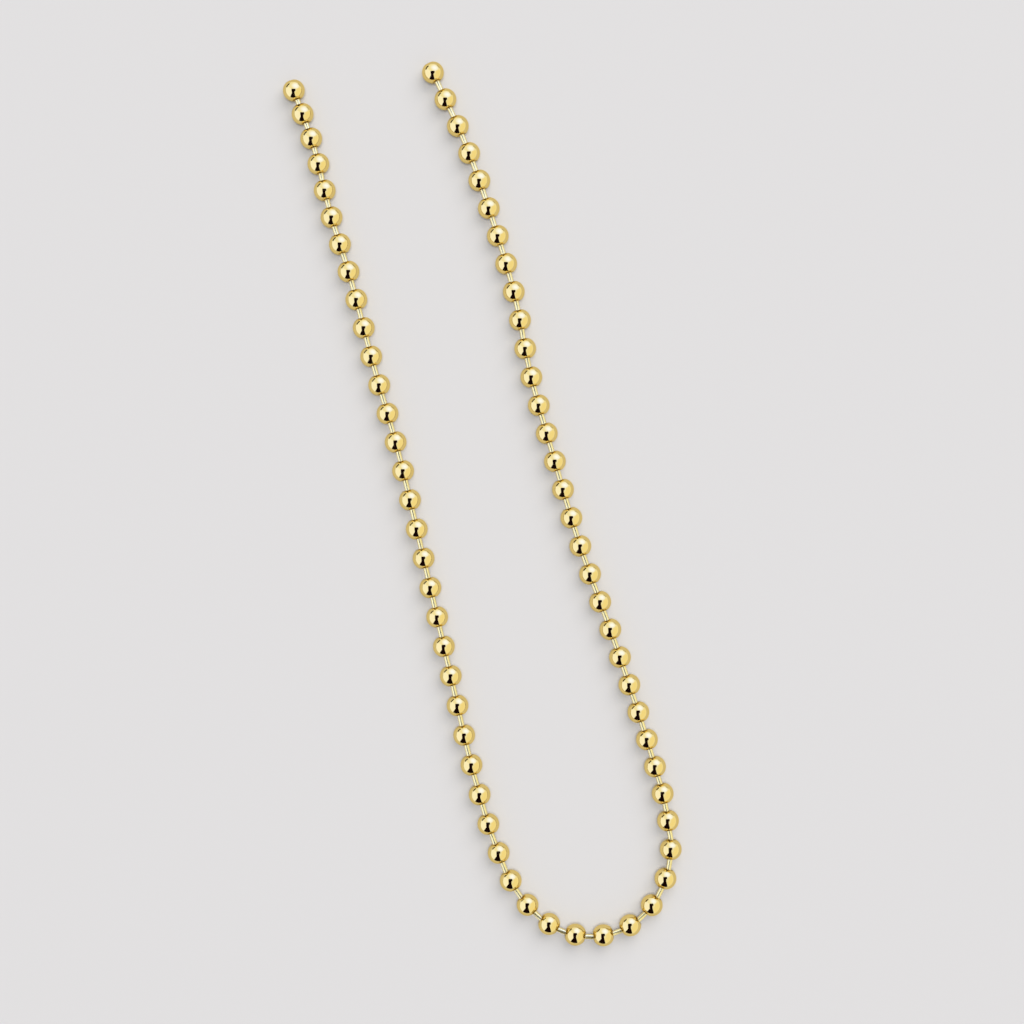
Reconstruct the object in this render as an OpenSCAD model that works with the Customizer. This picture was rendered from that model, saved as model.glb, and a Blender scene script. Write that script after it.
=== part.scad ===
// Ball chain necklace: hollow drilled balls on short wire links with headed ends.
// The chain lies open on a flat surface in one long narrow bow, with both ends at the far side.
// Origin: on the surface, under the centre of the chain's box. +Y runs along the two strands
// from the bow to the free ends, +X goes from the left strand to the right one, +Z is up.

/* [Balls] */
// Outer diameter of a ball
ball_d = 5; // [4:0.1:8]
// Wall of the hollow ball
ball_wall = 0.25; // [0.15:0.01:0.35]
// Gap between neighbouring balls where the chain is pulled tight
taut_gap = 2.1; // [1.4:0.1:3]

/* [Links] */
// Diameter of the link's wire
wire_d = 1.1; // [0.8:0.05:1.4]
// Free space round the wire in a ball's hole
hole_play = 0.325; // [0.25:0.005:0.4]
// How far a link's head reaches behind the edge of the hole
head_grip = 0.15; // [0.1:0.01:0.2]
// Thickness of a link's head
head_t = 0.4; // [0.3:0.05:0.6]
// Chamfer round a head's inner face
head_chamfer = 0.1; // [0.05:0.01:0.15]
// Least space between a head and the ball's wall
head_play = 0.12; // [0.1:0.01:0.2]
// Sharpest turn of the chain at one ball, in degrees
bend_max = 24; // [18:1:30]

/* [Hidden] */
$fn = 64;

// Where the chain was laid, from its left end round the bow to its right end.
// Each row: x, y, and how far the balls are drawn apart there, from 0 touching to 1 taut.
route = [
    [-16.5, 102.0, 0.30],
    [-15.7, 90.0, 0.48],
    [-16.2, 72.0, 0.66],
    [-15.9, 59.0, 0.76],
    [-16.3, 36.0, 0.84],
    [-16.3, 18.0, 0.84],
    [-17.4, -7.0, 0.88],
    [-18.9, -36.0, 0.90],
    [-20.0, -60.0, 0.96],
    [-19.7, -75.0, 0.94],
    [-18.4, -85.0, 0.85],
    [-13.0, -96.0, 0.72],
    [-5.0, -101.3, 0.66],
    [4.0, -101.6, 0.78],
    [12.0, -97.3, 0.90],
    [17.7, -89.0, 0.84],
    [19.8, -78.0, 0.60],
    [20.0, -65.0, 0.70],
    [19.2, -41.0, 0.80],
    [17.5, -14.0, 0.84],
    [17.3, 6.0, 0.78],
    [17.5, 26.0, 0.78],
    [18.9, 43.0, 0.76],
    [18.8, 62.0, 0.78],
    [17.6, 80.0, 0.80],
    [15.0, 97.2, 0.82]
];
// Short steps that each stretch of the route is measured in
route_steps = 16;

ball_r = ball_d / 2;
hollow_r = ball_r - ball_wall;
hole_d = wire_d + 2 * hole_play;
head_d = hole_d + 2 * head_grip;
taut_pitch = ball_d + taut_gap;

// A link's wire aims at the inner edge of the hole, this far from the ball's centre
aim = sqrt(pow(hollow_r, 2) - pow(hole_d / 2, 2));
// Where the middle of a head sits in a ball with the chain taut and bent to its limit
taut_seat = sqrt(pow(hollow_r - head_play, 2) - pow(aim * sin(bend_max / 2) + head_d / 2, 2)) - head_t / 2;
// Length of a link between the middles of its two heads
link_len = taut_pitch - 2 * taut_seat;

// Smooth curve through the route's points
last = len(route) - 1;
function spot(i) = [route[i].x, route[i].y];
function stretch(i) = norm(spot(i + 1) - spot(i));
function slope(i) = (spot(i + 1) - spot(i)) / stretch(i);
function way(i) =
    i == 0 ? slope(0) :
    i == last ? slope(last - 1) :
    (slope(i - 1) * stretch(i) + slope(i) * stretch(i - 1)) / (stretch(i - 1) + stretch(i));
function along(i, t) =
    let (s = 1 - t, h = stretch(i))
    spot(i) * s * s * (1 + 2 * t) + spot(i + 1) * t * t * (3 - 2 * t)
    + way(i) * h * s * s * t - way(i + 1) * h * t * t * s;
function drawn(i, t) = route[i][2] * (1 - t) + route[i + 1][2] * t;

// The curve in short steps, and the number of pitches counted up to each of them
stops = [for (i = [0 : last - 1]) for (k = [0 : route_steps - 1]) [i, k / route_steps], [last - 1, 1]];
path = [for (s = stops) along(s[0], s[1])];
pitches = [for (s = stops) ball_d + taut_gap * drawn(s[0], s[1])];
counts = [for (k = 0, c = 0; k < len(path); c = c + norm(path[min(k + 1, len(path) - 1)] - path[k]) / pitches[k], k = k + 1) c];
link_count = ceil(counts[len(counts) - 1]);
x_at = [for (k = [0 : len(path) - 1]) [counts[k], path[k].x]];
y_at = [for (k = [0 : len(path) - 1]) [counts[k], path[k].y]];

// Ball centres, moved so that the chain's box is centred on the origin
laid = [
    for (j = [0 : link_count])
    let (c = j * counts[len(counts) - 1] / link_count)
    [lookup(c, x_at), lookup(c, y_at)]
];
box_x = [for (p = laid) p.x];
box_y = [for (p = laid) p.y];
middle = [(min(box_x) + max(box_x)) / 2, (min(box_y) + max(box_y)) / 2];
centres = [for (p = laid) [p.x - middle.x, p.y - middle.y, ball_r]];

// Each ball's holes point half-way between its two neighbours
function unit(v) = v / norm(v);
function axis_of(j) =
    j == 0 ? unit(centres[1] - centres[0]) :
    j == link_count ? unit(centres[j] - centres[j - 1]) :
    unit(unit(centres[j] - centres[j - 1]) + unit(centres[j + 1] - centres[j]));
function heading(v) = atan2(v.y, v.x);

module hollow_ball() {
    difference() {
        sphere(r = ball_r);
        sphere(r = hollow_r);
        cylinder(h = 2 * ball_d, d = hole_d, center = true);
    }
}

module head() {
    cylinder(h = head_t - head_chamfer, d = head_d);
    translate([0, 0, head_t - head_chamfer])
        cylinder(h = head_chamfer, d1 = head_d, d2 = head_d - 2 * head_chamfer);
}

module link() {
    for (end = [0, 1])
        rotate([0, end * 180, 0])
            translate([0, 0, link_len / 2 - head_t / 2])
                head();
    cylinder(h = link_len, d = wire_d, center = true);
}

module balls() {
    color([0.90, 0.78, 0.45])
        for (j = [0 : link_count])
            translate(centres[j])
                rotate([0, 90, heading(axis_of(j))])
                    hollow_ball();
}

module links() {
    color([0.86, 0.73, 0.42])
        for (j = [0 : link_count - 1])
            let (
                from = centres[j] + aim * axis_of(j),
                to = centres[j + 1] - aim * axis_of(j + 1)
            )
            translate((from + to) / 2)
                rotate([0, 90, heading(to - from)])
                    link();
}

balls();
links();
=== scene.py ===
"""Dresses the ball chain necklace: polished gold balls on bright headed wire links, laid on a pale table.

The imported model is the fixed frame. The places of the balls are read from its meshes, and the links are
placed between them. Each ball or link is modelled once, in millimetres and along X, and laid on its seats.
"""

import logging
import math
import random
from dataclasses import dataclass
from enum import Enum

import bmesh
import bpy
import numpy as np
from mathutils import Matrix, Vector

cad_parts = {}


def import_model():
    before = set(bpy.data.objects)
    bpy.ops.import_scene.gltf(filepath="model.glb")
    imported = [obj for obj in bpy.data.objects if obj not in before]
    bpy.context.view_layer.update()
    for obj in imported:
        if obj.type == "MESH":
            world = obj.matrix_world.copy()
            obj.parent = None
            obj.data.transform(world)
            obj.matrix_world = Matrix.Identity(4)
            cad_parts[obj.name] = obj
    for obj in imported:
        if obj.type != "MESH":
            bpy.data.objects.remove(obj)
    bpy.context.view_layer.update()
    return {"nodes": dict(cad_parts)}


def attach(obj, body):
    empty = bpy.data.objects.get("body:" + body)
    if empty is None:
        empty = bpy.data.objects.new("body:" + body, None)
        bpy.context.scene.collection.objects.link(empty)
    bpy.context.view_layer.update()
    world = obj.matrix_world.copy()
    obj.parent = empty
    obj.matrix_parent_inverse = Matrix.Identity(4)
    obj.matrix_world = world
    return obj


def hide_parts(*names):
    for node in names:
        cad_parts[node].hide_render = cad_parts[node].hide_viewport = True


LOG = logging.getLogger("ball_chain")

# Metres in a millimetre, and how close two points of a mesh lie to count as one, in millimetres
MM = 0.001
WELD = 0.001

# The photograph, in millimetres: its up runs this far clockwise from +Y, and its centre shows this point of
# the table. At the height of the balls' middles it is this wide, and the camera hangs this high above them.
PICTURE_TURN = math.radians(16.0)
PICTURE_CENTRE = Vector((4.745, -3.782, 0.0))
PICTURE_WIDE = 232.7
CAMERA_HIGH = 600.0

# The UV maps: where polishing lines run on the metal, and how far a point of a card is from its middle
POLISH_MAP = "polish"
CARD_MAP = "card"


class Stretch(Enum):
    """A stretch of balls in one piece: its name, and the shares of the chain that it lies between."""

    LEFT_STRAND = ("left_strand_balls", 0.0, 0.43)
    BOW = ("bow_balls", 0.43, 0.57)
    RIGHT_STRAND = ("right_strand_balls", 0.57, 1.0)

    def of(self, seats: list["Seat"]) -> list["Seat"]:
        """Picks this stretch's seats from those of all balls, which are in order along the chain."""
        _, start, end = self.value
        return seats[round(start * len(seats)) : round(end * len(seats))]


@dataclass(frozen=True)
class Seat:
    """Where one ball or link lies, in millimetres: its centre, and which way its holes or wire point."""

    centre: Vector
    along: Vector

    def place(self, roll: float = 0.0) -> Matrix:
        """Gives the matrix that lays a piece built along X on this seat.

        Args:
            roll: Turn of the piece about its own X before it is laid, in radians.

        Returns:
            The matrix, in millimetres.
        """
        heading = math.atan2(self.along.y, self.along.x)
        level = Matrix.Translation(self.centre) @ Matrix.Rotation(heading, 4, "Z")
        return level @ Matrix.Rotation(roll, 4, "X")


@dataclass(frozen=True)
class HollowBall:
    """A ball pressed from strip: a thin shell with a rolled hole at each end, closed along one seam."""

    diameter: float = 5.0
    wall: float = 0.25
    hole: float = 1.75
    lip: float = 0.16
    lip_round: float = 0.1
    lip_steps: int = 3
    seam_wide: float = 0.07
    seam_deep: float = 0.04
    seam_swing: float = math.radians(60.0)
    around: int = 48
    rings: int = 24
    rings_inside: int = 10

    @property
    def radius(self) -> float:
        """Outer radius."""
        return self.diameter / 2

    @property
    def radius_inside(self) -> float:
        """Radius of the hollow."""
        return self.radius - self.wall

    @property
    def aim(self) -> float:
        """Distance from the ball's centre to the inner edge of a hole, which a link's wire aims at."""
        return math.sqrt(self.radius_inside**2 - (self.hole / 2) ** 2)

    def arc(
        self, bm: bmesh.types.BMesh, radius: float, opening: float, steps: int
    ) -> list[bmesh.types.BMVert]:
        """Draws the wall's section at one radius, from hole to hole.

        Args:
            bm: The mesh to draw in.
            radius: Radius of the arc.
            opening: Radius of the hole there.
            steps: Number of its edges.

        Returns:
            Its first and last vertex.
        """
        rim = math.asin(opening / radius)
        start = bm.verts.new((radius * math.cos(rim), 0.0, radius * math.sin(rim)))
        swept = bmesh.ops.spin(
            bm, geom=[start], cent=(0, 0, 0), axis=(0, -1, 0), angle=math.pi - 2 * rim, steps=steps,
            use_merge=False,
        )
        return [start, *(v for v in swept["geom_last"] if isinstance(v, bmesh.types.BMVert))]

    def shell(self) -> bmesh.types.BMesh:
        """Builds the ball round the origin, with its holes along X and its seam at the bottom.

        Returns:
            The mesh, in millimetres.
        """
        bm = bmesh.new()
        outside = self.arc(bm, self.radius, self.hole / 2 + self.lip, self.rings)
        inside = self.arc(bm, self.radius_inside, self.hole / 2, self.rings_inside)
        for ends in zip(outside, inside, strict=True):
            bm.edges.new(ends)
        bmesh.ops.bevel(
            bm, geom=outside, offset=self.lip_round, offset_type="OFFSET", segments=self.lip_steps,
            profile=0.5, affect="VERTICES", material=-1,
        )
        # The first sweep leaves the seam's width open, and two narrow ones close it, with their middle sunk
        gap = self.seam_wide / self.radius
        beside_seam = Matrix.Rotation(math.pi + gap / 2, 3, "X")
        bmesh.ops.rotate(bm, verts=bm.verts, cent=(0, 0, 0), matrix=beside_seam)
        body = self.sweep(bm, bm.verts[:] + bm.edges[:], 2 * math.pi - gap, self.around)
        sunk = self.sweep(bm, body, gap / 2, 1)
        self.sweep(bm, sunk, gap / 2, 1)
        depth = 1 - self.seam_deep / self.radius
        groove = [part for part in sunk if isinstance(part, bmesh.types.BMVert)]
        bmesh.ops.scale(bm, verts=groove, vec=(depth, depth, depth))
        bmesh.ops.remove_doubles(bm, verts=bm.verts, dist=WELD)
        bmesh.ops.recalc_face_normals(bm, faces=bm.faces)
        self.finish(bm)
        return bm

    @staticmethod
    def sweep(bm: bmesh.types.BMesh, section: list, angle: float, steps: int) -> list:
        """Sweeps a section round X.

        Args:
            bm: The mesh to sweep in.
            section: The section's vertices and edges.
            angle: How far it goes, in radians.
            steps: Number of steps.

        Returns:
            The vertices and edges of the section at its last step.
        """
        spun = bmesh.ops.spin(
            bm, geom=section, cent=(0, 0, 0), axis=(1, 0, 0), angle=angle, steps=steps, use_merge=False
        )
        return spun["geom_last"]

    def finish(self, bm: bmesh.types.BMesh) -> None:
        """Smooths the shell, keeps the seam crisp, marks the bare inside, and lays its polish map.

        Args:
            bm: The shell.
        """
        polish = bm.loops.layers.uv.new(POLISH_MAP)
        half_seam = self.seam_wide / self.radius / 2
        middle = (self.radius + self.radius_inside) / 2
        for face in bm.faces:
            face.smooth = True
            face.material_index = int(all(v.co.length < middle for v in face.verts))
            across = face.calc_center_median()
            for loop in face.loops:
                loop[polish].uv = polish_place(loop.vert.co, across, self.radius)
        for edge in bm.edges:
            turns = [math.atan2(v.co.y, -v.co.z) for v in edge.verts]
            at_seam = all(abs(abs(turn) - half_seam) < half_seam / 4 for turn in turns)
            if at_seam and abs(turns[0] - turns[1]) < half_seam:
                edge.smooth = False


@dataclass(frozen=True)
class HeadedLink:
    """A short wire with a flat head on each end, each caught inside a ball."""

    length: float
    wire: float = 1.1
    head: float = 2.05
    head_thick: float = 0.4
    head_round: float = 0.1
    neck_round: float = 0.08
    round_steps: int = 3
    around: int = 32

    def pin(self) -> bmesh.types.BMesh:
        """Builds the link round the origin, along X.

        Returns:
            The mesh, in millimetres.
        """
        bm = bmesh.new()
        head, wire = self.head / 2, self.wire / 2
        end, shoulder = -self.length / 2, self.head_thick - self.length / 2
        corners = ((end, 0.0), (end, head), (shoulder, head), (shoulder, wire), (0.0, wire))
        section = [bm.verts.new((x, 0.0, z)) for x, z in corners]
        for start, stop in zip(section, section[1:]):
            bm.edges.new((start, stop))
        for rounded, size in ((section[1:3], self.head_round), (section[3:4], self.neck_round)):
            bmesh.ops.bevel(
                bm, geom=rounded, offset=size, offset_type="OFFSET", segments=self.round_steps,
                profile=0.5, affect="VERTICES", material=-1,
            )
        half = bm.verts[:] + bm.edges[:]
        bmesh.ops.mirror(bm, geom=half, matrix=Matrix.Identity(4), merge_dist=WELD, axis="X")
        outline = bm.verts[:] + bm.edges[:]
        bmesh.ops.spin(
            bm, geom=outline, cent=(0, 0, 0), axis=(1, 0, 0), angle=2 * math.pi, steps=self.around,
            use_merge=True,
        )
        bmesh.ops.remove_doubles(bm, verts=bm.verts, dist=WELD)
        bmesh.ops.recalc_face_normals(bm, faces=bm.faces)
        polish = bm.loops.layers.uv.new(POLISH_MAP)
        for face in bm.faces:
            face.smooth = True
            across = face.calc_center_median()
            for loop in face.loops:
                loop[polish].uv = polish_place(loop.vert.co, across, self.wire / 2)
        return bm


def polish_place(corner: Vector, across: Vector, radius: float) -> tuple[float, float]:
    """Gives a corner's place on the polish map, which is unrolled along X and round it, in millimetres.

    Args:
        corner: The corner of a face.
        across: The middle of that face, which says on which side of the map's join it lies.
        radius: Radius that the map is unrolled at.

    Returns:
        How far along X, and how far round from the bottom.
    """
    middle = math.atan2(across.y, -across.z)
    turn = math.atan2(corner.y, -corner.z)
    if abs(turn - middle) > math.pi:
        turn += math.copysign(2 * math.pi, middle)
    return corner.x, turn * radius


class ChainLay:
    """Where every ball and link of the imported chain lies."""

    def __init__(self, balls: bpy.types.Object, links: bpy.types.Object, ball: HollowBall) -> None:
        """Reads the places from the frame's meshes.

        Args:
            balls: The frame's node of balls.
            links: The frame's node of links.
            ball: The ball's sizes.
        """
        centres = self.in_order([self.sphere_centre(part, ball) for part in self.loose_parts(balls)])
        steps = [(b - a).normalized() for a, b in zip(centres, centres[1:])]
        ways = [(a + b).normalized() for a, b in zip([steps[0], *steps], [*steps, steps[-1]])]
        self.balls = [Seat(centre, way) for centre, way in zip(centres, ways, strict=True)]
        self.links = []
        for near, far in zip(self.balls, self.balls[1:]):
            start, stop = near.centre + ball.aim * near.along, far.centre - ball.aim * far.along
            self.links.append(Seat((start + stop) / 2, (stop - start).normalized()))
        seat, wires = self.links[0], self.loose_parts(links)
        first = min(wires, key=lambda wire: np.linalg.norm(wire.mean(0) - np.array(seat.centre)))
        self.link_length = float(np.ptp(first @ np.array(seat.along)))

    @staticmethod
    def loose_parts(node: bpy.types.Object) -> list[np.ndarray]:
        """Splits a node's mesh into its loose parts.

        Args:
            node: A node of the frame.

        Returns:
            For each loose part its vertices, in millimetres.
        """
        bm = bmesh.new()
        bm.from_mesh(node.data)
        bmesh.ops.remove_doubles(bm, verts=bm.verts, dist=WELD * MM)
        seen, parts = set(), []
        for seed in bm.verts:
            if seed in seen:
                continue
            seen.add(seed)
            part = [seed]
            for vert in part:
                fresh = [n for n in (edge.other_vert(vert) for edge in vert.link_edges) if n not in seen]
                seen.update(fresh)
                part += fresh
            parts.append(np.array([vert.co[:] for vert in part]) / MM)
        bm.free()
        return parts

    @staticmethod
    def sphere_centre(points: np.ndarray, ball: HollowBall) -> Vector:
        """Fits a ball's centre to its outer surface.

        Args:
            points: The ball's vertices, which lie on its outer and its inner surface.
            ball: The ball's sizes.

        Returns:
            The centre.
        """
        rough = (points.min(0) + points.max(0)) / 2
        in_wall = (ball.radius + ball.radius_inside) / 2
        outer = points[np.linalg.norm(points - rough, axis=1) > in_wall] - rough
        equations = np.hstack([2 * outer, np.ones((len(outer), 1))])
        solution, *_ = np.linalg.lstsq(equations, (outer**2).sum(1), rcond=None)
        return Vector(rough + solution[:3])

    @staticmethod
    def in_order(centres: list[Vector]) -> list[Vector]:
        """Sorts the balls along the chain, from its left end, which lies furthest along +Y.

        Args:
            centres: The balls' centres in any order.

        Returns:
            The same centres, each beside its neighbours.
        """
        left = sorted(centres, key=lambda centre: centre.y)
        row = [left.pop()]
        while left:
            row.append(left.pop(min(range(len(left)), key=lambda k: (left[k] - row[-1]).length)))
        return row


class NodeGroup:
    """A shader node group whose sockets are plain numbers. Each kind fills it with its own nodes."""

    NAME = ""
    INPUTS: tuple[tuple[str, float], ...] = ()
    OUTPUTS: tuple[str, ...] = ()

    def __init__(self) -> None:
        """Makes the group with its sockets and its two end nodes."""
        self.tree = bpy.data.node_groups.new(self.NAME, "ShaderNodeTree")
        socket = self.tree.interface.new_socket
        for name, value in self.INPUTS:
            socket(name, in_out="INPUT", socket_type="NodeSocketFloat").default_value = value
        for name in self.OUTPUTS:
            socket(name, in_out="OUTPUT", socket_type="NodeSocketFloat")
        self.given = self.tree.nodes.new("NodeGroupInput")
        self.result = self.tree.nodes.new("NodeGroupOutput")

    def reckon(
        self, operation: str, first: bpy.types.NodeSocket | float, second: bpy.types.NodeSocket | float
    ) -> bpy.types.NodeSocket:
        """Adds a math node.

        Args:
            operation: What it does.
            first: Its first value.
            second: Its second value.

        Returns:
            Its result.
        """
        node = self.tree.nodes.new("ShaderNodeMath")
        node.operation = operation
        for value, socket in zip((first, second), node.inputs):
            if isinstance(value, float):
                socket.default_value = value
            else:
                self.tree.links.new(value, socket)
        return node.outputs[0]


class PolishMarks(NodeGroup):
    """The node group of fine marks that every gold surface here shows, with its lengths in millimetres."""

    NAME = "polish_marks"
    INPUTS = (
        ("Smudge Size", 1.6), ("Line Length", 2.5), ("Line Width", 0.05), ("Least Roughness", 0.04),
        ("Most Roughness", 0.1), ("Worn And Shaded Start", 2.2), ("Worn And Shaded End", 2.35),
    )
    OUTPUTS = ("Roughness", "Tone", "Height", "Worn And Shaded")

    # Numbers of finer layers, the hairlines' share of all marks, the values where marks begin to roughen
    # the metal and where they have done so fully, and how ragged the smudges make the hole edges' wear and
    # painted shade
    SMUDGE_DETAIL = 3.0
    LINE_DETAIL = 1.0
    LINE_SHARE = 0.35
    FAINT = 0.35
    FULL = 0.65
    RAGGED = 0.1

    def __init__(self) -> None:
        """Builds the group."""
        super().__init__()
        nodes, link = self.tree.nodes, self.tree.links.new
        place, unrolled = nodes.new("ShaderNodeTexCoord"), nodes.new("ShaderNodeUVMap")
        unrolled.uv_map = POLISH_MAP
        smudge_scale = self.reckon("DIVIDE", 1 / MM, self.given.outputs["Smudge Size"])
        smudges = self.noise(place.outputs["Object"], smudge_scale, self.SMUDGE_DETAIL)
        parts, lines = nodes.new("ShaderNodeSeparateXYZ"), nodes.new("ShaderNodeCombineXYZ")
        link(unrolled.outputs["UV"], parts.inputs[0])
        for axis, size in (("X", "Line Width"), ("Y", "Line Length")):
            link(self.reckon("DIVIDE", parts.outputs[axis], self.given.outputs[size]), lines.inputs[axis])
        hairlines = self.noise(lines.outputs[0], None, self.LINE_DETAIL)
        link(smudges, self.result.inputs["Tone"])
        link(hairlines, self.result.inputs["Height"])
        self.roughen(smudges, hairlines)
        self.wear_and_shade(parts.outputs["X"], smudges)

    def roughen(self, smudges: bpy.types.NodeSocket, hairlines: bpy.types.NodeSocket) -> None:
        """Mixes the marks and spreads them over the roughness.

        Args:
            smudges: Where the smudges are.
            hairlines: Where the hairlines are.
        """
        nodes, link = self.tree.nodes, self.tree.links.new
        marks, spread = nodes.new("ShaderNodeMix"), nodes.new("ShaderNodeMapRange")
        marks.inputs["Factor"].default_value = self.LINE_SHARE
        link(smudges, marks.inputs["A"])
        link(hairlines, marks.inputs["B"])
        spread.inputs["From Min"].default_value = self.FAINT
        spread.inputs["From Max"].default_value = self.FULL
        link(marks.outputs["Result"], spread.inputs["Value"])
        link(self.given.outputs["Least Roughness"], spread.inputs["To Min"])
        link(self.given.outputs["Most Roughness"], spread.inputs["To Max"])
        link(spread.outputs["Result"], self.result.inputs["Roughness"])

    def wear_and_shade(self, along: bpy.types.NodeSocket, smudges: bpy.types.NodeSocket) -> None:
        """Marks the edges round the holes, some way along X to both sides of a piece's middle, which are
        worn and darkened with painted shade.

        Args:
            along: The place along X.
            smudges: Where the smudges are, which make the edges ragged.
        """
        nodes, link = self.tree.nodes, self.tree.links.new
        outward, ragged = nodes.new("ShaderNodeMath"), nodes.new("ShaderNodeMath")
        outward.operation, ragged.operation = "ABSOLUTE", "MULTIPLY_ADD"
        link(along, outward.inputs[0])
        link(smudges, ragged.inputs[0])
        ragged.inputs[1].default_value = self.RAGGED
        link(outward.outputs[0], ragged.inputs[2])
        worn_and_shaded = nodes.new("ShaderNodeMapRange")
        worn_and_shaded.interpolation_type = "SMOOTHSTEP"
        link(ragged.outputs[0], worn_and_shaded.inputs["Value"])
        link(self.given.outputs["Worn And Shaded Start"], worn_and_shaded.inputs["From Min"])
        link(self.given.outputs["Worn And Shaded End"], worn_and_shaded.inputs["From Max"])
        link(worn_and_shaded.outputs["Result"], self.result.inputs["Worn And Shaded"])

    def noise(
        self, vector: bpy.types.NodeSocket, scale: bpy.types.NodeSocket | None, detail: float
    ) -> bpy.types.NodeSocket:
        """Adds a noise texture.

        Args:
            vector: Where it is read.
            scale: Its scale, or None for 1.
            detail: Its number of finer layers.

        Returns:
            Its value.
        """
        node = self.tree.nodes.new("ShaderNodeTexNoise")
        node.inputs["Detail"].default_value = detail
        node.inputs["Scale"].default_value = 1.0
        self.tree.links.new(vector, node.inputs["Vector"])
        if scale:
            self.tree.links.new(scale, node.inputs["Scale"])
        return node.outputs["Fac"]


@dataclass(frozen=True)
class GoldFinish:
    """A gold-coloured metal surface with its own marks, whose relief is in millimetres."""

    name: str
    colour: tuple[float, float, float]
    shade: tuple[float, float, float]
    # Colour and roughness at the hole edges, which are worn and also darkened with painted shade
    worn_and_shaded: tuple[float, float, float]
    worn_rough: float
    marks: tuple[tuple[str, float], ...]
    relief: float
    edge_tint: tuple[float, float, float] = (0.94, 0.86, 0.62)

    def material(self) -> bpy.types.Material:
        """Builds the material.

        Returns:
            The material, with its marks from the shared group.
        """
        made = bpy.data.materials.new(self.name)
        made.use_nodes = True
        made.diffuse_color = (*self.colour, 1.0)
        nodes, link = made.node_tree.nodes, made.node_tree.links.new
        metal = nodes["Principled BSDF"]
        metal.inputs["Metallic"].default_value = 1.0
        marks = nodes.new("ShaderNodeGroup")
        marks.node_tree = bpy.data.node_groups[PolishMarks.NAME]
        for socket, value in self.marks:
            marks.inputs[socket].default_value = value
        tone = nodes.new("ShaderNodeMix")
        tone.data_type = "RGBA"
        link(marks.outputs["Tone"], tone.inputs["Factor"])
        tone.inputs["A"].default_value = (*self.colour, 1.0)
        tone.inputs["B"].default_value = (*self.shade, 1.0)
        metal.inputs["Specular Tint"].default_value = (*self.edge_tint, 1.0)
        # The hole edges take a darker colour: partly wear, partly painted shade where the wire goes in
        dulled_and_shaded, roughened = nodes.new("ShaderNodeMix"), nodes.new("ShaderNodeMix")
        dulled_and_shaded.data_type = "RGBA"
        link(marks.outputs["Worn And Shaded"], dulled_and_shaded.inputs["Factor"])
        link(tone.outputs["Result"], dulled_and_shaded.inputs["A"])
        dulled_and_shaded.inputs["B"].default_value = (*self.worn_and_shaded, 1.0)
        link(dulled_and_shaded.outputs["Result"], metal.inputs["Base Color"])
        link(marks.outputs["Worn And Shaded"], roughened.inputs["Factor"])
        link(marks.outputs["Roughness"], roughened.inputs["A"])
        roughened.inputs["B"].default_value = self.worn_rough
        link(roughened.outputs["Result"], metal.inputs["Roughness"])
        bump = nodes.new("ShaderNodeBump")
        bump.inputs["Distance"].default_value = self.relief * MM
        link(marks.outputs["Height"], bump.inputs["Height"])
        link(bump.outputs["Normal"], metal.inputs["Normal"])
        return made


POLISHED_GOLD = GoldFinish(
    name="polished_gold",
    colour=(0.865, 0.66, 0.228),
    shade=(0.845, 0.635, 0.213),
    # Darker at the hole edges: partly wear, partly painted shade where the wires go in
    worn_and_shaded=(0.60, 0.41, 0.14),
    worn_rough=0.2,
    marks=(("Least Roughness", 0.035), ("Most Roughness", 0.085), ("Worn And Shaded Start", 2.17), ("Worn And Shaded End", 2.29)),
    relief=0.0002,
)
BARE_INSIDE = GoldFinish(
    name="bare_brass_inside",
    colour=(0.82, 0.62, 0.27),
    shade=(0.74, 0.53, 0.22),
    worn_and_shaded=(0.66, 0.46, 0.18),
    worn_rough=0.4,
    marks=(("Least Roughness", 0.3), ("Most Roughness", 0.45), ("Smudge Size", 0.5)),
    relief=0.002,
)
BRIGHT_WIRE = GoldFinish(
    name="bright_wire",
    colour=(0.97, 0.82, 0.35),
    shade=(0.94, 0.78, 0.31),
    # Darker at both ends, where the wire goes into the balls: partly wear, partly painted shade
    worn_and_shaded=(0.88, 0.70, 0.26),
    worn_rough=0.36,
    marks=(
        ("Least Roughness", 0.25), ("Most Roughness", 0.34), ("Line Length", 0.06), ("Line Width", 3.0),
        ("Worn And Shaded Start", 1.12), ("Worn And Shaded End", 1.45),
    ),
    relief=0.0004,
)


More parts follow.
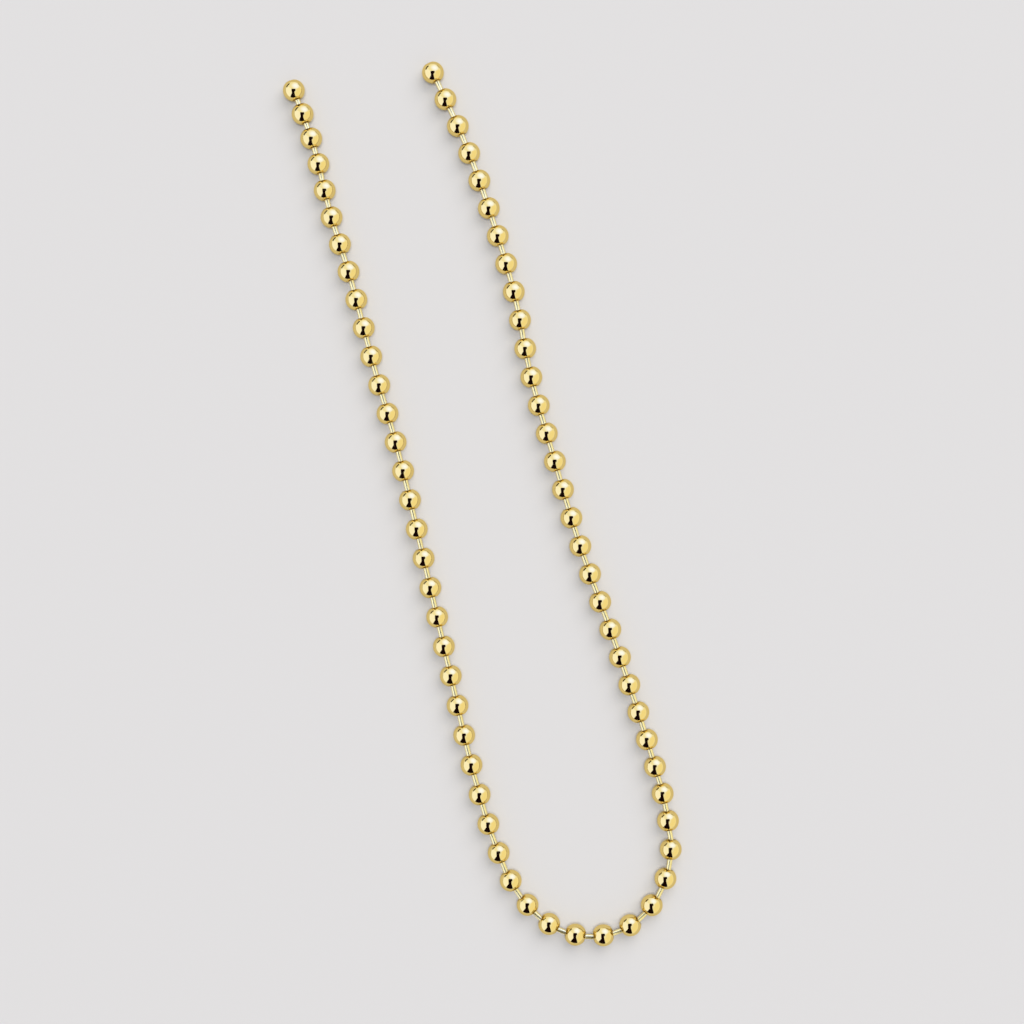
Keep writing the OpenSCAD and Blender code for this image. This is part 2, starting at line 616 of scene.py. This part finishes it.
@dataclass(frozen=True)
class Necklace:
    """The whole chain: balls in three stretches, and the links that join them."""

    ball: HollowBall = HollowBall()
    seed: int = 65

    def lay(
        self, name: str, model: bmesh.types.BMesh, places: list[Matrix], finishes: list[bpy.types.Material]
    ) -> bpy.types.Object:
        """Lays copies of one model on many places, as one piece.

        Args:
            name: The piece's name.
            model: The model, in millimetres.
            places: A matrix for each copy, in millimetres.
            finishes: The piece's materials.

        Returns:
            The piece, in metres at the origin.
        """
        whole = bpy.data.meshes.new(name)
        once = bpy.data.meshes.new(name + "_once")
        model.to_mesh(once)
        bm = bmesh.new()
        for place in places:
            old = len(bm.verts)
            bm.from_mesh(once)
            bm.verts.ensure_lookup_table()
            bmesh.ops.transform(bm, matrix=place, verts=bm.verts[old:])
        bmesh.ops.scale(bm, verts=bm.verts, vec=(MM, MM, MM))
        bm.to_mesh(whole)
        bm.free()
        bpy.data.meshes.remove(once)
        piece = bpy.data.objects.new(name, whole)
        bpy.context.scene.collection.objects.link(piece)
        for finish in finishes:
            whole.materials.append(finish)
        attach(piece, "root")
        triangles = sum(len(face.vertices) - 2 for face in whole.polygons)
        LOG.info("%s: %d laid, %d triangles", name, len(places), triangles)
        return piece

    def build(self, nodes: dict[str, bpy.types.Object]) -> None:
        """Builds every piece of the chain in place of the frame's nodes.

        Args:
            nodes: The frame's nodes by name.
        """
        lay = ChainLay(nodes["balls"], nodes["links"], self.ball)
        polished, bare, bright = (finish.material() for finish in (POLISHED_GOLD, BARE_INSIDE, BRIGHT_WIRE))
        turns = random.Random(self.seed)
        shell, swing = self.ball.shell(), self.ball.seam_swing
        for stretch in Stretch:
            places = [seat.place(turns.uniform(-1, 1) * swing) for seat in stretch.of(lay.balls)]
            piece = self.lay(stretch.value[0], shell, places, [polished, bare])
            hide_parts("balls")
        link = HeadedLink(lay.link_length)
        piece = self.lay("headed_links", link.pin(), [seat.place() for seat in lay.links], [bright])
        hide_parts("links")


def towards(azimuth: float, polar: float) -> Vector:
    """Gives a direction of the studio.

    Args:
        azimuth: Degrees anticlockwise from the picture's right.
        polar: Degrees from straight up.

    Returns:
        The unit vector.
    """
    turn, lean = math.radians(azimuth) - PICTURE_TURN, math.radians(polar)
    return Vector((math.cos(turn) * math.sin(lean), math.sin(turn) * math.sin(lean), math.cos(lean)))


class CardFade(NodeGroup):
    """The node group that fades a card out towards its edge."""

    NAME = "card_fade"
    INPUTS = (("Fade", 0.05), ("Squareness", 8.0))
    OUTPUTS = ("Cover",)

    def __init__(self) -> None:
        """Builds the group."""
        super().__init__()
        nodes, link = self.tree.nodes, self.tree.links.new
        given, result = self.given, self.result
        place, parts = nodes.new("ShaderNodeUVMap"), nodes.new("ShaderNodeSeparateXYZ")
        place.uv_map = CARD_MAP
        link(place.outputs["UV"], parts.inputs[0])
        square = given.outputs["Squareness"]
        across, along = (self.reckon("POWER", parts.outputs[axis], square) for axis in ("X", "Y"))
        total, root = self.reckon("ADD", across, along), self.reckon("DIVIDE", 1.0, square)
        outward = self.reckon("POWER", total, root)
        cover = nodes.new("ShaderNodeMapRange")
        cover.interpolation_type = "SMOOTHSTEP"
        cover.inputs["From Min"].default_value = 1.0
        cover.inputs["To Min"].default_value, cover.inputs["To Max"].default_value = 0.0, 1.0
        link(outward, cover.inputs["Value"])
        link(self.reckon("SUBTRACT", 1.0, given.outputs["Fade"]), cover.inputs["From Max"])
        link(cover.outputs["Result"], result.inputs["Cover"])


@dataclass(frozen=True)
class Card:
    """A sheet of the studio that shows only as a reflection in the metal, such as a softbox's face.

    It bends round the chain. Its first range is azimuths, and its second one polar angles, both in degrees.
    """

    name: str
    across: tuple[float, float]
    along: tuple[float, float]
    glow: tuple[float, float, float]
    fade: float = 0.05
    square: float = 8.0
    reach: float = 1200.0
    columns: int = 36
    rows: int = 12

    def spot(self, across: float, along: float) -> Vector:
        """Gives the place of a point of the card, in millimetres from the chain's middle."""
        return towards(across, along) * self.reach

    def sheet(self) -> bpy.types.Mesh:
        """Builds the card's mesh with its map, which runs from -1 to 1 both ways.

        Returns:
            The mesh, in metres.
        """
        bm = bmesh.new()
        bmesh.ops.create_grid(bm, x_segments=self.columns, y_segments=self.rows, size=1.0)
        spread = bm.loops.layers.uv.new(CARD_MAP)
        for face in bm.faces:
            for loop in face.loops:
                loop[spread].uv = loop.vert.co.xy
        for vert in bm.verts:
            shares = [(value + 1) / 2 for value in vert.co.xy]
            ranges = zip((self.across, self.along), shares)
            vert.co = self.spot(*(start + share * (stop - start) for (start, stop), share in ranges)) * MM
        mesh = bpy.data.meshes.new(self.name)
        bm.to_mesh(mesh)
        bm.free()
        return mesh

    def finish(self) -> bpy.types.Material:
        """Builds the card's even glow, which fades out towards its edge.

        Returns:
            The material.
        """
        made = bpy.data.materials.new(self.name)
        made.use_nodes = True
        made.cycles.emission_sampling = "NONE"
        nodes, link = made.node_tree.nodes, made.node_tree.links.new
        nodes.clear()
        glow, out = nodes.new("ShaderNodeEmission"), nodes.new("ShaderNodeOutputMaterial")
        glow.inputs["Color"].default_value = (*self.glow, 1.0)
        clear, cover = nodes.new("ShaderNodeBsdfTransparent"), nodes.new("ShaderNodeMixShader")
        fade = nodes.new("ShaderNodeGroup")
        fade.node_tree = bpy.data.node_groups[CardFade.NAME]
        fade.inputs["Fade"].default_value = self.fade
        fade.inputs["Squareness"].default_value = self.square
        link(fade.outputs["Cover"], cover.inputs["Fac"])
        link(clear.outputs[0], cover.inputs[1])
        link(glow.outputs[0], cover.inputs[2])
        link(cover.outputs[0], out.inputs["Surface"])
        return made

    def build(self) -> None:
        """Builds the card, which nothing but a mirrored ray meets."""
        mesh = self.sheet()
        mesh.materials.append(self.finish())
        card = bpy.data.objects.new(self.name, mesh)
        card.visible_camera = card.visible_diffuse = card.visible_shadow = False
        bpy.context.scene.collection.objects.link(card)


class LevelCard(Card):
    """A level card over the chain, whose ranges are millimetres to the picture's right and up."""

    def spot(self, across: float, along: float) -> Vector:
        """Gives the place of a point of the card, in millimetres from the chain's middle."""
        return Matrix.Rotation(-PICTURE_TURN, 3, "Z") @ Vector((across, along, self.reach))


@dataclass(frozen=True)
class FacingCard(Card):
    """A flat card that faces the chain, whose ranges are degrees to either side of its middle."""

    azimuth: float = 74.0
    polar: float = 50.0

    def spot(self, across: float, along: float) -> Vector:
        """Gives the place of a point of the card.

        Args:
            across: Degrees to the side of its middle.
            along: Degrees above its middle.

        Returns:
            The place, in millimetres from the chain's middle.
        """
        middle = towards(self.azimuth, self.polar)
        level = towards(self.azimuth + 90, 90)
        aside, aloft = math.tan(math.radians(across)), math.tan(math.radians(along))
        return (middle + aside * level + aloft * middle.cross(level)) * self.reach


@dataclass(frozen=True)
class Lamp:
    """A round soft lamp that faces the chain, and doesn't show in the metal itself."""

    name: str
    azimuth: float
    polar: float
    spread: float
    glow: float
    tint: tuple[float, float, float] = (1.0, 1.0, 1.0)
    reach: float = 20000.0

    def build(self) -> None:
        """Builds the lamp, with the power that gives its face this glow."""
        radius = self.reach * MM * math.tan(math.radians(self.spread))
        light = bpy.data.lights.new(self.name, "AREA")
        light.shape = "DISK"
        light.size = 2 * radius
        light.color = self.tint
        light.energy = self.glow * math.pi * (math.pi * radius**2)
        lamp = bpy.data.objects.new(self.name, light)
        way = towards(self.azimuth, self.polar)
        lamp.location = way * self.reach * MM
        lamp.rotation_mode = "QUATERNION"
        lamp.rotation_quaternion = way.to_track_quat("Z", "Y")
        lamp.visible_glossy = lamp.visible_camera = False
        bpy.context.scene.collection.objects.link(lamp)


@dataclass(frozen=True)
class Studio:
    """The pale table, the soft light round it, and the camera straight above."""

    floor_colour: tuple[float, float, float] = (0.644, 0.6447, 0.668)
    floor_rough: float = 0.9
    floor_sheen: float = 0.0
    floor_half: float = 16.0
    sky_colour: tuple[float, float, float] = (1.0, 1.0, 1.0)
    sky_strength: float = 0.45
    backdrop_colour: tuple[float, float, float] = (0.74, 0.73, 0.735)
    lamps: tuple[Lamp, ...] = (
        Lamp("key_lamp", 60, 40, 28, 2.1, (1.06, 1.0, 0.9)),
        Lamp("top_lamp", 0, 0, 7, 24.0),
    )
    cards: tuple[Card, ...] = (
        Card("white_tent", (-200, 200), (-20, 91), (1.05, 1.15, 1.49), fade=0.02, reach=1500),
        Card("right_wall", (-82, 40), (26, 94), (1.045, 1.045, 0.97), fade=0.4, reach=1400),
        Card("left_softbox", (143, 245), (19, 89), (1.148, 1.31, 2.13), fade=0.12, reach=1300),
        FacingCard(
            "key_softbox", (-52, 50), (-50, 50), (1.17, 1.52, 3.75), fade=0.96, square=2.0, azimuth=69
        ),
        Card("black_flag_below", (236.5, 286), (3, 92), (0.008, 0.003, 0.004), fade=0.03, reach=1100),
        LevelCard("black_flag_overhead", (-270, 203), (-85, 195), (0.008, 0.003, 0.004), reach=600),
        LevelCard("wide_black_flag", (-260, 102), (-420, 60), (0.008, 0.003, 0.004), reach=610),
        Card(
            "small_dark_flag", (121, 156), (76, 94), (0.02, 0.015, 0.01), fade=0.3, square=3.0, reach=1150
        ),
        Card("dim_flag", (34, 66), (82, 92), (0.38, 0.38, 0.36), fade=0.4, reach=1150),
    )

    def build(self) -> None:
        """Builds the table, the light and the camera."""
        self.table()
        self.sky()
        CardFade()
        for part in (*self.lamps, *self.cards):
            part.build()
        self.camera()

    def table(self) -> None:
        """Builds the table top, which the chain rests on."""
        bm = bmesh.new()
        bmesh.ops.create_grid(bm, x_segments=1, y_segments=1, size=self.floor_half)
        mesh = bpy.data.meshes.new("table_top")
        bm.to_mesh(mesh)
        bm.free()
        mesh.materials.append(self.paper())
        top = bpy.data.objects.new("table_top", mesh)
        bpy.context.scene.collection.objects.link(top)

    def paper(self) -> bpy.types.Material:
        """Builds the matt paper of the table top.

        Returns:
            The material.
        """
        made = bpy.data.materials.new("pale_paper")
        made.use_nodes = True
        surface = made.node_tree.nodes["Principled BSDF"]
        surface.inputs["Base Color"].default_value = (*self.floor_colour, 1.0)
        surface.inputs["Roughness"].default_value = self.floor_rough
        surface.inputs["Specular IOR Level"].default_value = self.floor_sheen
        return made

    def sky(self) -> None:
        """Sets the even light from all round, and the pale backdrop that shows past the table's edge."""
        world = bpy.data.worlds.new("pale_room")
        world.use_nodes = True
        nodes, link = world.node_tree.nodes, world.node_tree.links.new
        sky, backdrop = nodes["Background"], nodes.new("ShaderNodeBackground")
        sky.inputs["Color"].default_value = (*self.sky_colour, 1.0)
        sky.inputs["Strength"].default_value = self.sky_strength
        backdrop.inputs["Color"].default_value = (*self.backdrop_colour, 1.0)
        path, shown = nodes.new("ShaderNodeLightPath"), nodes.new("ShaderNodeMixShader")
        link(path.outputs["Is Camera Ray"], shown.inputs["Fac"])
        link(sky.outputs[0], shown.inputs[1])
        link(backdrop.outputs[0], shown.inputs[2])
        link(shown.outputs[0], nodes["World Output"].inputs["Surface"])
        bpy.context.scene.world = world

    def camera(self) -> None:
        """Hangs the camera over the picture's centre, looking straight down."""
        lens = bpy.data.cameras.new("camera")
        lens.lens = lens.sensor_width * CAMERA_HIGH / PICTURE_WIDE
        camera = bpy.data.objects.new("camera", lens)
        camera.location = (PICTURE_CENTRE + Vector((0, 0, CAMERA_HIGH + HollowBall().radius))) * MM
        camera.rotation_euler = (0.0, 0.0, -PICTURE_TURN)
        bpy.context.scene.collection.objects.link(camera)
        scene = bpy.context.scene
        scene.camera = camera
        scene.view_settings.view_transform = "Standard"


def main() -> None:
    """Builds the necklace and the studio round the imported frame."""
    logging.basicConfig(level=logging.INFO, format="%(name)s %(message)s")
    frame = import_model()
    PolishMarks()
    Studio().build()
    Necklace().build(frame["nodes"])


if __name__ == "__main__":
    main()
